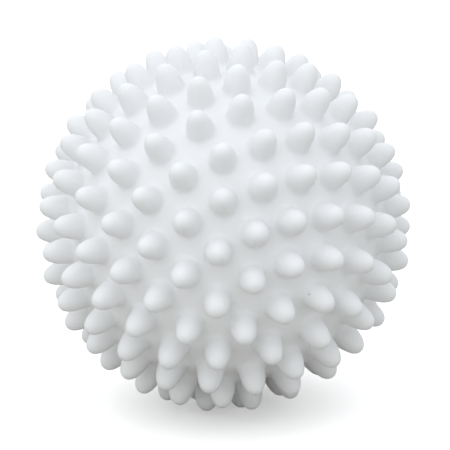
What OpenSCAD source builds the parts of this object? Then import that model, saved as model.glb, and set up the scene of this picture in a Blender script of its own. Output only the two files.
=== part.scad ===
// Dryer ball: a hollow, spiky ball of soft white plastic, made as two
// half shells that lap at the parting line and are joined by a weld.
//
// Origin: on the floor, right below the middle of the ball. +Z is up and the
// ball lies as it does on a table, on the tips of three neighbouring spikes.
// The ball's own axis runs from the pole of one half shell to the pole of the
// other. The spikes stand in rings about that axis, and the parting line is
// the ball's equator, halfway between two rings, so no spike crosses it.

/* [Ball] */
// Diameter over the tips of the spikes
ball_d = 70; // [60:1:80]
// How far a spike stands out from the ball's skin
spike_len = 5.4; // [4.2:0.1:6.2]

/* [Spikes] */
// Share of the gap from ring to ring that the width of a spike fills
foot_share = 0.7; // [0.54:0.02:0.72]
// Share of the gap that the rounded root adds on each side of a spike
root_share = 0.11; // [0.06:0.01:0.12]
// How full a spike is towards its tip, where 2 is an egg and more is blunter
fullness = 2.3; // [2:0.1:3.2]

/* [Shell] */
// Thickness of the shell between the spikes
wall = 2.4; // [1.8:0.1:3]
// Depth of the lap between the two half shells
lap_depth = 1.8; // [1.2:0.1:2.2]
// Slip fit between the lip and the rebate, on the radius
lap_gap = 0.05; // [0.02:0.01:0.1]
// How far the weld bead stands in from the inner wall
bead_w = 0.8; // [0.5:0.1:1.2]

/* [Lie] */
// Heading of the ball's axis as it lies, where 0 points the lower pole to +X
heading = -59; // [-180:1:180]

/* [Hidden] */
$fn = 64;

// Rings from pole to pole, thirteen equal steps of latitude.
ring_step = 180 / 13;
// Spikes in each ring, from the lower pole to the upper pole.
ring_n = [1, 5, 12, 17, 22, 24, 25, 24, 24, 22, 17, 12, 5, 1];
// Bearing of the first spike in each ring, in degrees.
ring_at = [0, 20, 21.5, 1.5, 8.5, 13, 6.5, 9.5, 4, 12.5, 7.5, 23, 30, 0];

ball_r = ball_d / 2;
skin_r = ball_r - spike_len;
inner_r = skin_r - wall;
pitch = skin_r * ring_step * PI / 180;
foot_r = pitch * foot_share / 2;
root_w = pitch * root_share;
root_r = foot_r + root_w;
// Where the rounded root runs out into the skin, and how far up the spike it reaches.
root_z = sqrt(skin_r * skin_r - root_r * root_r) - 0.05;
root_h = root_w * 1.3;
flat_r = bullet(85)[0];
lap_r = skin_r - wall / 2;
over = 1;

function bearing(k, j) = ring_at[k] + j * 360 / ring_n[k];
function along(k, j) =
    let (t = k * ring_step, a = bearing(k, j))
    [sin(t) * cos(a), sin(t) * sin(a), cos(t)];
function unit(v) = v / norm(v);
// Side of a spike, from its foot at 0 degrees to the top of its dome at 90.
function bullet(b) = [
    foot_r * pow(cos(b), 2 / fullness),
    root_z + (ball_r - root_z) * pow(sin(b), 2 / fullness)
];
// Hollow curve of the root, from the skin at 0 degrees to the side at 90.
function root(a) = [root_r - root_w * sin(a), root_z + root_h * (1 - cos(a))];

// The three neighbouring spikes that the ball lies on, as [ring, number].
feet = [[3, 7], [4, 8], [4, 9]];
foot_a = along(feet[0][0], feet[0][1]);
foot_b = along(feet[1][0], feet[1][1]);
foot_c = along(feet[2][0], feet[2][1]);
// Square to the plane through the three tips, pointing out of the ball.
down = let (n = unit(cross(foot_b - foot_a, foot_c - foot_a)))
    n * foot_a > 0 ? n : -n;
lean = acos(down * foot_a);
mid_h = ball_r * cos(lean) + flat_r * sin(lean);
// The ball's axis drawn level, which becomes the heading.
level = unit([0, 0, 1] - down * down[2]);
side = cross(-down, level);

// Turns the ball from its own axis to the way it lies, and lifts it on to the floor.
module lie() {
    translate([0, 0, mid_h])
        rotate([0, 0, heading])
            multmatrix([
                [level[0], level[1], level[2], 0],
                [side[0], side[1], side[2], 0],
                [-down[0], -down[1], -down[2], 0],
                [0, 0, 0, 1]
            ])
                children();
}

// One spike standing on the Z axis: hollow-curved root, full side, domed tip.
module spike() {
    rotate_extrude($fn = 32)
        polygon(concat(
            [[0, skin_r - 1], [root_r, skin_r - 1]],
            [for (a = [0 : 33 : 66]) root(a)],
            [for (b = [14, 32, 48, 62, 74]) bullet(b)],
            [[flat_r, ball_r], [0, ball_r]]
        ));
}

module spikes(first, last) {
    for (k = [first : last])
        for (j = [0 : ring_n[k] - 1])
            rotate([0, k * ring_step, bearing(k, j)]) spike();
}

module lower_half_shell() {
    color("#eceeed")
        lie() {
            union() {
                difference() {
                    sphere(skin_r);
                    sphere(inner_r);
                    translate([0, 0, -ball_r])
                        cube([2 * ball_r, 2 * ball_r, 2 * ball_r], center = true);
                }
                // lip that fits inside the upper half
                difference() {
                    translate([0, 0, -lap_depth]) cylinder(r = lap_r - lap_gap, h = lap_depth + 0.5);
                    translate([0, 0, -lap_depth - 1]) cylinder(r = inner_r, h = lap_depth + 3);
                }
                spikes(0, 6);
            }
        }
}

module upper_half_shell() {
    color("#eceeed")
        lie() {
            difference() {
                union() {
                    difference() {
                        sphere(skin_r);
                        sphere(inner_r);
                        translate([0, 0, ball_r])
                            cube([2 * ball_r, 2 * ball_r, 2 * ball_r], center = true);
                    }
                    spikes(7, 13);
                }
                translate([0, 0, -lap_depth - 0.1])
                    cylinder(r = lap_r, h = lap_depth + 0.1 + over);
            }
        }
}

// Weld run all the way round: a bead that closes the lap on the inside, and
// the film that it leaves under the end of the lip.
module weld_bead() {
    top = -lap_depth + 0.9;
    film = -lap_depth - 0.1;
    low = -lap_depth - 1;
    color("#e4e7e2")
        lie()
            rotate_extrude($fn = 128)
                polygon([
                    [inner_r, top],
                    [inner_r - bead_w * 0.75, -lap_depth + 0.45],
                    [inner_r - bead_w, -lap_depth - 0.05],
                    [inner_r - bead_w * 0.75, -lap_depth - 0.55],
                    [sqrt(inner_r * inner_r - low * low), low],
                    [sqrt(inner_r * inner_r - film * film), film],
                    [lap_r, film],
                    [lap_r, -lap_depth],
                    [inner_r, -lap_depth]
                ]);
}

lower_half_shell();
upper_half_shell();
weld_bead();
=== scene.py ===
import math

import bpy
import numpy as np
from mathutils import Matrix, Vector
from mathutils.geometry import delaunay_2d_cdt

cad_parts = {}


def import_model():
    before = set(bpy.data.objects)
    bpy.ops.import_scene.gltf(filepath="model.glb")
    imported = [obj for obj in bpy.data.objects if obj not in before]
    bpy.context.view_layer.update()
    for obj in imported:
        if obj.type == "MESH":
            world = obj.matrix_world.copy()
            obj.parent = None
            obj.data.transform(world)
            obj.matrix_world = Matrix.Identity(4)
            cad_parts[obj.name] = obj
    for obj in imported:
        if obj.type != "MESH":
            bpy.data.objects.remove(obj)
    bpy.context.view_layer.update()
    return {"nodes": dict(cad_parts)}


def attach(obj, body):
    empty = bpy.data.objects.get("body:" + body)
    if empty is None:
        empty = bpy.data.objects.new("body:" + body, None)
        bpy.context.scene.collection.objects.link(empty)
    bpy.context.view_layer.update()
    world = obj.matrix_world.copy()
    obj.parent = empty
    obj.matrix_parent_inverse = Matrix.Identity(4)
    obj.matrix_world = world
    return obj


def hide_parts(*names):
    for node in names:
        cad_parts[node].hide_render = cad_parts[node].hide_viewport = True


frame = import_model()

scene = bpy.context.scene
MM = 0.001

# ---------------------------------------------------------------- the ball's layout, in mm
# The same rule as the solids follow: rings of spikes at thirteen equal steps of latitude.
BALL_R = 35.0
SKIN_R = 29.6
WALL = 2.4
INNER_R = SKIN_R - WALL
LAP_R = SKIN_R - WALL / 2
LAP_DEPTH = 1.8
LAP_GAP = 0.05
RING_STEP = 180.0 / 13
RING_N = [1, 5, 12, 17, 22, 24, 25, 24, 24, 22, 17, 12, 5, 1]
RING_AT = [0, 20, 21.5, 1.5, 8.5, 13, 6.5, 9.5, 4, 12.5, 7.5, 23, 30, 0]
HEADING = -59.0
FEET = [(3, 7), (4, 8), (4, 9)]
PITCH = SKIN_R * math.radians(RING_STEP)
FOOT_R = PITCH * 0.35
ROOT_W = PITCH * 0.11
ROOT_Z = math.sqrt(SKIN_R ** 2 - (FOOT_R + ROOT_W) ** 2) - 0.05
FULL = 2.3


def along(k, j):
    t = math.radians(k * RING_STEP)
    a = math.radians(RING_AT[k] + j * 360.0 / RING_N[k])
    return np.array([math.sin(t) * math.cos(a), math.sin(t) * math.sin(a), math.cos(t)])


def unit(v):
    return v / np.linalg.norm(v)


AXES = np.array([along(k, j) for k in range(14) for j in range(RING_N[k])])
RING_OF = np.array([k for k in range(14) for j in range(RING_N[k])])

# How the ball lies: on the tips of three neighbouring spikes.
fa, fb, fc = (along(*f) for f in FEET)
down = unit(np.cross(fb - fa, fc - fa))
if down @ fa < 0:
    down = -down
lean = math.acos(down @ fa)
flat_r = FOOT_R * math.cos(math.radians(85)) ** (2 / FULL)
mid_h = BALL_R * math.cos(lean) + flat_r * math.sin(lean)
level = unit(np.array([0.0, 0.0, 1.0]) - down * down[2])
side = np.cross(-down, level)
h = math.radians(HEADING)
LIE = np.array([[math.cos(h), -math.sin(h), 0], [math.sin(h), math.cos(h), 0], [0, 0, 1]]) @ np.array([level, side, -down])
CENTRE = np.array([0.0, 0.0, mid_h])


def world(p):
    """Points of the ball's own frame, in mm, to the row frame, in metres."""
    return (np.asarray(p) @ LIE.T + CENTRE) * MM


# ---------------------------------------------------------------- the outer surface
SOFT = 2.8  # sharpness of the blend where a spike grows out of the skin, per mm


def surface(dirs, near):
    """Distance from the middle to the outer surface along each direction. near holds the nearest spikes of each."""
    lo = np.full(len(dirs), SKIN_R - 1.0)
    hi = np.full(len(dirs), BALL_R + 0.3)
    cosang = np.einsum("nij,nj->ni", AXES[near], dirs)
    sinang = np.sqrt(np.maximum(1 - cosang ** 2, 1e-12))
    height = BALL_R - ROOT_Z + TALL[near]
    foot = FOOT_R * THICK[near]
    for _ in range(26):
        r = (lo + hi) / 2
        y = np.maximum(r[:, None] * cosang - ROOT_Z, 0) / height
        x = r[:, None] * sinang / foot
        k0 = np.maximum((x ** FULL + y ** FULL) ** (1 / FULL), 1e-4)
        gx = (x / k0) ** (FULL - 1) / foot
        gy = (y / k0) ** (FULL - 1) / height
        s = (k0 - 1) / np.maximum(np.hypot(gx, gy), 1e-6)
        m = np.exp(-SOFT * np.clip(s, -8, 40)).sum(1) + np.exp(-SOFT * (r - SKIN_R + 0.06))
        inside = m > 1
        lo = np.where(inside, r, lo)
        hi = np.where(inside, hi, r)
    return np.minimum((lo + hi) / 2, BALL_R)


# Each spike comes out of the mould a little different: a hair thinner, shorter or leaning.
rng = np.random.default_rng(26)
THICK = 1 + rng.uniform(-0.035, 0.02, len(AXES))
TALL = -np.abs(rng.normal(0, 0.07, len(AXES))).clip(0, 0.16)
TILT = rng.normal(0, 0.0042, (len(AXES), 3)).clip(-0.009, 0.009)
for k, j in FEET:
    n = sum(RING_N[:k]) + j
    THICK[n], TALL[n], TILT[n] = 1, 0, 0
NOMINAL = AXES.copy()
AXES = AXES + TILT
AXES /= np.linalg.norm(AXES, axis=1)[:, None]
# the outermost spikes keep their full length, so the ball keeps its size
for col in range(3):
    for pick in (np.argmax, np.argmin):
        n = int(pick((NOMINAL @ LIE.T)[:, col]))
        THICK[n], TALL[n] = 1, 0
        AXES[n] = NOMINAL[n]


def nearest(dirs, count=4):
    d = dirs @ AXES.T
    return np.argsort(-d, axis=1)[:, :count]


def spaced_rings(count, edge):
    """Angles from a spike's axis at equal steps along its profile, out to edge."""
    a = np.linspace(0, edge, 4000)
    d = np.stack([np.sin(a), np.zeros_like(a), np.cos(a)], 1)
    d = d @ np.stack([np.cross([0, 1.0, 0], AXES[0]) * 1.0, [0, 1.0, 0], AXES[0]])
    r = surface(d, np.zeros((len(a), 1), int))
    x, y = r * np.sin(a), r * np.cos(a)
    s = np.concatenate([[0], np.cumsum(np.hypot(np.diff(x), np.diff(y)))])
    # a little closer together where the profile turns
    return np.interp(np.linspace(0, s[-1], count + 1), s, a)


EDGE = math.radians(6.2)
SEGS = 32
BANDS = 22
EQ = 360
STEPS = spaced_rings(BANDS, EDGE)


def mesh_object(name, verts, faces, smooth=True):
    me = bpy.data.meshes.new(name)
    me.from_pydata([tuple(v) for v in verts], [], faces)
    me.validate()
    me.update()
    if smooth:
        me.polygons.foreach_set("use_smooth", [True] * len(me.polygons))
        me.set_sharp_from_angle(angle=math.radians(50))
    ob = bpy.data.objects.new(name, me)
    scene.collection.objects.link(ob)
    return ob


def half_shell(name, rings, sign):
    """One closed half shell. sign is +1 for the half about the lower pole, -1 for the other."""
    dirs, faces, ring_id = [], [], []
    planar = []  # index of each point that the gaps are filled between

    def add(d, rid=-1):
        dirs.append(d)
        ring_id.append(rid)
        return len(dirs) - 1

    loops = []
    for n in np.flatnonzero(np.isin(RING_OF, rings)):
        a = AXES[n]
        u = unit(np.cross([0.31, 0.17, 0.93], a))
        v = np.cross(a, u)
        tip = add(a)
        last = None
        for i in range(1, BANDS + 1):
            al = STEPS[i]
            ring = []
            for s in range(SEGS):
                p = 2 * math.pi * s / SEGS
                ring.append(add(math.cos(al) * a + math.sin(al) * (math.cos(p) * u + math.sin(p) * v), n if i == BANDS else -1))
            for s in range(SEGS):
                t = (s + 1) % SEGS
                if last is None:
                    faces.append((tip, ring[s], ring[t]))
                else:
                    faces.append((last[s], ring[s], ring[t], last[t]))
            last = ring
        loops.append(last)
        planar += last

    # the skin in the gaps
    count = 16000
    i = np.arange(count) + 0.5
    z = 1 - 2 * i / count
    ph = i * math.pi * (3 - math.sqrt(5))
    lattice = np.stack([np.sqrt(1 - z * z) * np.cos(ph), np.sqrt(1 - z * z) * np.sin(ph), z], 1)
    lattice = lattice[sign * lattice[:, 2] > math.sin(math.radians(0.8))]
    best = (lattice @ AXES.T).max(1)
    for d in lattice[best < math.cos(EDGE + math.radians(0.55))]:
        planar.append(add(d))

    # the edge of the skin, just off the parting line
    lat = math.radians(0.14) * sign
    near_eq = []
    for k in range(EQ):
        p = 2 * math.pi * k / EQ
        near_eq.append(add(np.array([math.cos(lat) * math.cos(p), math.cos(lat) * math.sin(p), math.sin(lat)])))
    planar += near_eq

    D = np.array(dirs)
    pts = D[planar]
    flat = pts[:, :2] / (1 + sign * pts[:, 2:3])
    place = {g: l for l, g in enumerate(planar)}
    edges = []
    for ring in loops + [near_eq]:
        edges += [(place[ring[s]], place[ring[(s + 1) % len(ring)]]) for s in range(len(ring))]
    got = delaunay_2d_cdt([Vector(p) for p in flat.tolist()], edges, [], 0, 1e-7, True)
    origin = [o[0] for o in got[3]]
    rid = np.array(ring_id)
    for f in got[2]:
        g = [planar[origin[q]] for q in f]
        ids = {int(rid[q]) for q in g}
        if len(ids) == 1 and -1 not in ids:
            continue  # under a spike
        faces.append(tuple(g) if sign > 0 else tuple(reversed(g)))

    R = surface(D, nearest(D))
    verts = (D * R[:, None]).tolist()

    # the parting edge: a hair lower than the skin, then the flat rim, the lap and the inner wall
    eq_dirs = np.array([[math.cos(2 * math.pi * k / EQ), math.sin(2 * math.pi * k / EQ), 0.0] for k in range(EQ)])
    eq_r = surface(eq_dirs, nearest(eq_dirs)) - 0.002

    def loop(rho, zz):
        first = len(verts)
        rho = np.broadcast_to(rho, (EQ,))
        for k in range(EQ):
            verts.append([eq_dirs[k, 0] * rho[k], eq_dirs[k, 1] * rho[k], zz])
        return list(range(first, first + EQ))

    def stitch(a, b):
        for k in range(EQ):
            t = (k + 1) % EQ
            q = (a[k], b[k], b[t], a[t])
            faces.append(q if sign > 0 else tuple(reversed(q)))

    chain = [near_eq, loop(eq_r, 0.0)]
    if sign > 0:
        lip = LAP_R - LAP_GAP
        for rho, zz in ((lip + 0.12, 0.0), (lip, -0.12), (lip, -LAP_DEPTH + 0.2), (lip - 0.2, -LAP_DEPTH),
                        (INNER_R + 0.12, -LAP_DEPTH), (INNER_R, -LAP_DEPTH + 0.12)):
            chain.append(loop(rho, zz))
        start = 0.0
    else:
        deep = LAP_DEPTH + 0.1
        for rho, zz in ((LAP_R + 0.1, 0.0), (LAP_R, -0.1), (LAP_R, -deep)):
            chain.append(loop(rho, zz))
        start = math.degrees(math.asin(deep / INNER_R))
    for t in np.linspace(start, 87.0, 26):
        a = math.radians(t)
        chain.append(loop(INNER_R * math.cos(a), sign * INNER_R * math.sin(a)))
    for a, b in zip(chain, chain[1:]):
        stitch(a, b)
    verts.append([0.0, 0.0, sign * INNER_R])
    pole = len(verts) - 1
    for k in range(EQ):
        t = (k + 1) % EQ
        q = (chain[-1][k], pole, chain[-1][t])
        faces.append(q if sign > 0 else tuple(reversed(q)))

    return mesh_object(name, world(np.array(verts)), faces)


lower = half_shell("lower_half_shell_moulding", list(range(0, 7)), 1)
upper = half_shell("upper_half_shell_moulding", list(range(7, 14)), -1)


# ---------------------------------------------------------------- materials
def new_material(name):
    m = bpy.data.materials.new(name)
    m.use_nodes = True
    nt = m.node_tree
    nt.nodes.clear()
    out = nt.nodes.new("ShaderNodeOutputMaterial")
    b = nt.nodes.new("ShaderNodeBsdfPrincipled")
    nt.links.new(b.outputs["BSDF"], out.inputs["Surface"])
    return m, nt, b


def noise(nt, coord, scale, detail=2.0, rough=0.5):
    n = nt.nodes.new("ShaderNodeTexNoise")
    n.inputs["Scale"].default_value = scale
    n.inputs["Detail"].default_value = detail
    n.inputs["Roughness"].default_value = rough
    nt.links.new(coord, n.inputs["Vector"])
    return n.outputs["Fac"]


def remap(nt, value, a, b, c, d):
    n = nt.nodes.new("ShaderNodeMapRange")
    n.clamp = True
    nt.links.new(value, n.inputs["Value"])
    for key, val in (("From Min", a), ("From Max", b), ("To Min", c), ("To Max", d)):
        n.inputs[key].default_value = val
    return n.outputs["Result"]


def math_node(nt, op, a, b):
    n = nt.nodes.new("ShaderNodeMath")
    n.operation = op
    for k, v in enumerate((a, b)):
        if isinstance(v, (int, float)):
            n.inputs[k].default_value = v
        else:
            nt.links.new(v, n.inputs[k])
    return n.outputs[0]


def mix(nt, fac, a, b):
    n = nt.nodes.new("ShaderNodeMix")
    n.data_type = "RGBA"
    if isinstance(fac, (int, float)):
        n.inputs[0].default_value = fac
    else:
        nt.links.new(fac, n.inputs[0])
    for k, v in ((6, a), (7, b)):
        if isinstance(v, tuple):
            n.inputs[k].default_value = (*v, 1)
        else:
            nt.links.new(v, n.inputs[k])
    return n.outputs[2]


def soft_plastic(name, base, shade, speck, specks=True):
    """Soft white moulded plastic: faint clouding, fine moulding grain, a few tiny dark specks."""
    m, nt, b = new_material(name)
    tc = nt.nodes.new("ShaderNodeTexCoord")
    co = tc.outputs["Object"]
    cloud = remap(nt, noise(nt, co, 90, 3.0, 0.55), 0.35, 0.68, 0.0, 1.0)
    colour = mix(nt, cloud, base, shade)
    fine = noise(nt, co, 1400, 2.0, 0.6)
    colour = mix(nt, remap(nt, fine, 0.4, 0.75, 0.0, 0.25), colour, shade)
    if specks:
        v = nt.nodes.new("ShaderNodeTexVoronoi")
        v.feature = "F1"
        v.inputs["Scale"].default_value = 260
        nt.links.new(co, v.inputs["Vector"])
        spot = remap(nt, v.outputs["Distance"], 0.05, 0.09, 1.0, 0.0)
        # only a few cells of the pattern hold a speck
        sep = nt.nodes.new("ShaderNodeSeparateColor")
        nt.links.new(v.outputs["Color"], sep.inputs["Color"])
        rare = math_node(nt, "GREATER_THAN", sep.outputs["Red"], 0.975)
        colour = mix(nt, math_node(nt, "MULTIPLY", spot, math_node(nt, "MULTIPLY", rare, 0.7)), colour, speck)
    nt.links.new(colour, b.inputs["Base Color"])
    rough = remap(nt, noise(nt, co, 240, 2.0, 0.5), 0.3, 0.7, 0.52, 0.66)
    nt.links.new(rough, b.inputs["Roughness"])
    bump = nt.nodes.new("ShaderNodeBump")
    bump.inputs["Strength"].default_value = 0.35
    bump.inputs["Distance"].default_value = 0.00006
    grain = math_node(nt, "ADD", noise(nt, co, 900, 3.0, 0.55), math_node(nt, "MULTIPLY", noise(nt, co, 260, 2.0, 0.5), 1.6))
    nt.links.new(grain, bump.inputs["Height"])
    nt.links.new(bump.outputs["Normal"], b.inputs["Normal"])
    b.inputs["IOR"].default_value = 1.5
    b.inputs["Specular IOR Level"].default_value = 0.25
    b.inputs["Subsurface Weight"].default_value = 0.04
    b.inputs["Subsurface Radius"].default_value = (1.0, 0.95, 0.9)
    b.inputs["Subsurface Scale"].default_value = 0.0006
    return m


white = soft_plastic("soft_white_plastic", (0.820, 0.818, 0.822), (0.800, 0.798, 0.799), (0.25, 0.24, 0.22))
weld = soft_plastic("weld_plastic", (0.77, 0.78, 0.74), (0.70, 0.71, 0.67), (0.3, 0.28, 0.24), specks=False)

for piece, node in ((lower, "lower_half_shell"), (upper, "upper_half_shell")):
    piece.data.materials.append(white)
    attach(piece, "root")
    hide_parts(node)

bead = frame["nodes"]["weld_bead"]
for s in bead.material_slots:
    s.material = weld

# ---------------------------------------------------------------- floor, light and camera
fm, fnt, fb_ = new_material("pale_floor")
ftc = fnt.nodes.new("ShaderNodeTexCoord")
fb_.inputs["Roughness"].default_value = 0.9
fb_.inputs["Specular IOR Level"].default_value = 0.1
flp = fnt.nodes.new("ShaderNodeLightPath")
fcloud = remap(fnt, noise(fnt, ftc.outputs["Object"], 3.0, 2.0), 0.3, 0.7, 0.0, 1.0)
fcol = mix(fnt, fcloud, (0.975, 0.965, 0.95), (0.965, 0.955, 0.94))
# the table under the ball throws back less light than the white paper it is shown on
fcol = mix(fnt, flp.outputs["Is Camera Ray"], (0.50, 0.485, 0.45), fcol)
fnt.links.new(fcol, fb_.inputs["Base Color"])
fb_.inputs["Emission Color"].default_value = (1, 1, 1, 1)
fnt.links.new(math_node(fnt, "MULTIPLY", flp.outputs["Is Camera Ray"], 0.3), fb_.inputs["Emission Strength"])
S = 4.0
floor = mesh_object("floor", [(-S, -S, 0), (S, -S, 0), (S, S, 0), (-S, S, 0)], [(0, 1, 2, 3)], smooth=False)
floor.data.materials.append(fm)

w = bpy.data.worlds.new("studio")
scene.world = w
w.use_nodes = True
wnt = w.node_tree
wnt.nodes.clear()
wout = wnt.nodes.new("ShaderNodeOutputWorld")
amb = wnt.nodes.new("ShaderNodeBackground")
amb.inputs["Color"].default_value = (0.925, 0.965, 1.0, 1)
amb.inputs["Strength"].default_value = 1.06
seen = wnt.nodes.new("ShaderNodeBackground")
seen.inputs["Color"].default_value = (1, 1, 1, 1)
seen.inputs["Strength"].default_value = 1.0
lp = wnt.nodes.new("ShaderNodeLightPath")
ms = wnt.nodes.new("ShaderNodeMixShader")
wnt.links.new(lp.outputs["Is Camera Ray"], ms.inputs[0])
wnt.links.new(amb.outputs[0], ms.inputs[1])
wnt.links.new(seen.outputs[0], ms.inputs[2])
wnt.links.new(ms.outputs[0], wout.inputs["Surface"])

mid = Vector((0, 0, mid_h * MM))


def area(name, az, el, dist, size, watts, colour=(1, 1, 1)):
    """A soft round light that faces the ball. az 0 is in front, and grows to the right."""
    li = bpy.data.lights.new(name, "AREA")
    li.shape = "DISK"
    li.size = size
    li.energy = watts
    li.color = colour
    ob = bpy.data.objects.new(name, li)
    a, e = math.radians(az), math.radians(el)
    back = Vector((math.sin(a) * math.cos(e), -math.cos(a) * math.cos(e), math.sin(e)))
    ob.location = mid + back * dist
    ob.rotation_euler = (-back).to_track_quat("-Z", "Y").to_euler()
    ob.visible_camera = False
    scene.collection.objects.link(ob)
    return ob


area("key", -30, 62, 0.9, 1.2, 1.6, (0.935, 0.965, 1.0))
area("fill", -44, 6, 1.1, 1.6, 1.6, (0.98, 0.985, 1.0))
area("back", -168, 46, 1.0, 1.2, 1.1, (0.94, 0.965, 1.0))

ELEV = math.radians(15.6)
DIST = 0.6
cam_data = bpy.data.cameras.new("camera")
cam_data.sensor_width = 36.0
cam_data.lens = 36.0 * DIST / (70.0 * MM * 450 / 376)
cam_data.clip_start, cam_data.clip_end = 0.05, 12.0
cam = bpy.data.objects.new("camera", cam_data)
scene.collection.objects.link(cam)
back = Vector((0, -math.cos(ELEV), math.sin(ELEV)))
up = Vector((0, math.sin(ELEV), math.cos(ELEV)))
px = 70.0 * MM / 376
aim = mid + Vector((1, 0, 0)) * (225 - 223.9) * px + up * (224.0 - 225) * px
cam.location = aim + back * DIST
cam.rotation_mode = "QUATERNION"
cam.rotation_quaternion = (-back).to_track_quat("-Z", "Y")
scene.camera = cam

scene.view_settings.view_transform = "Standard"
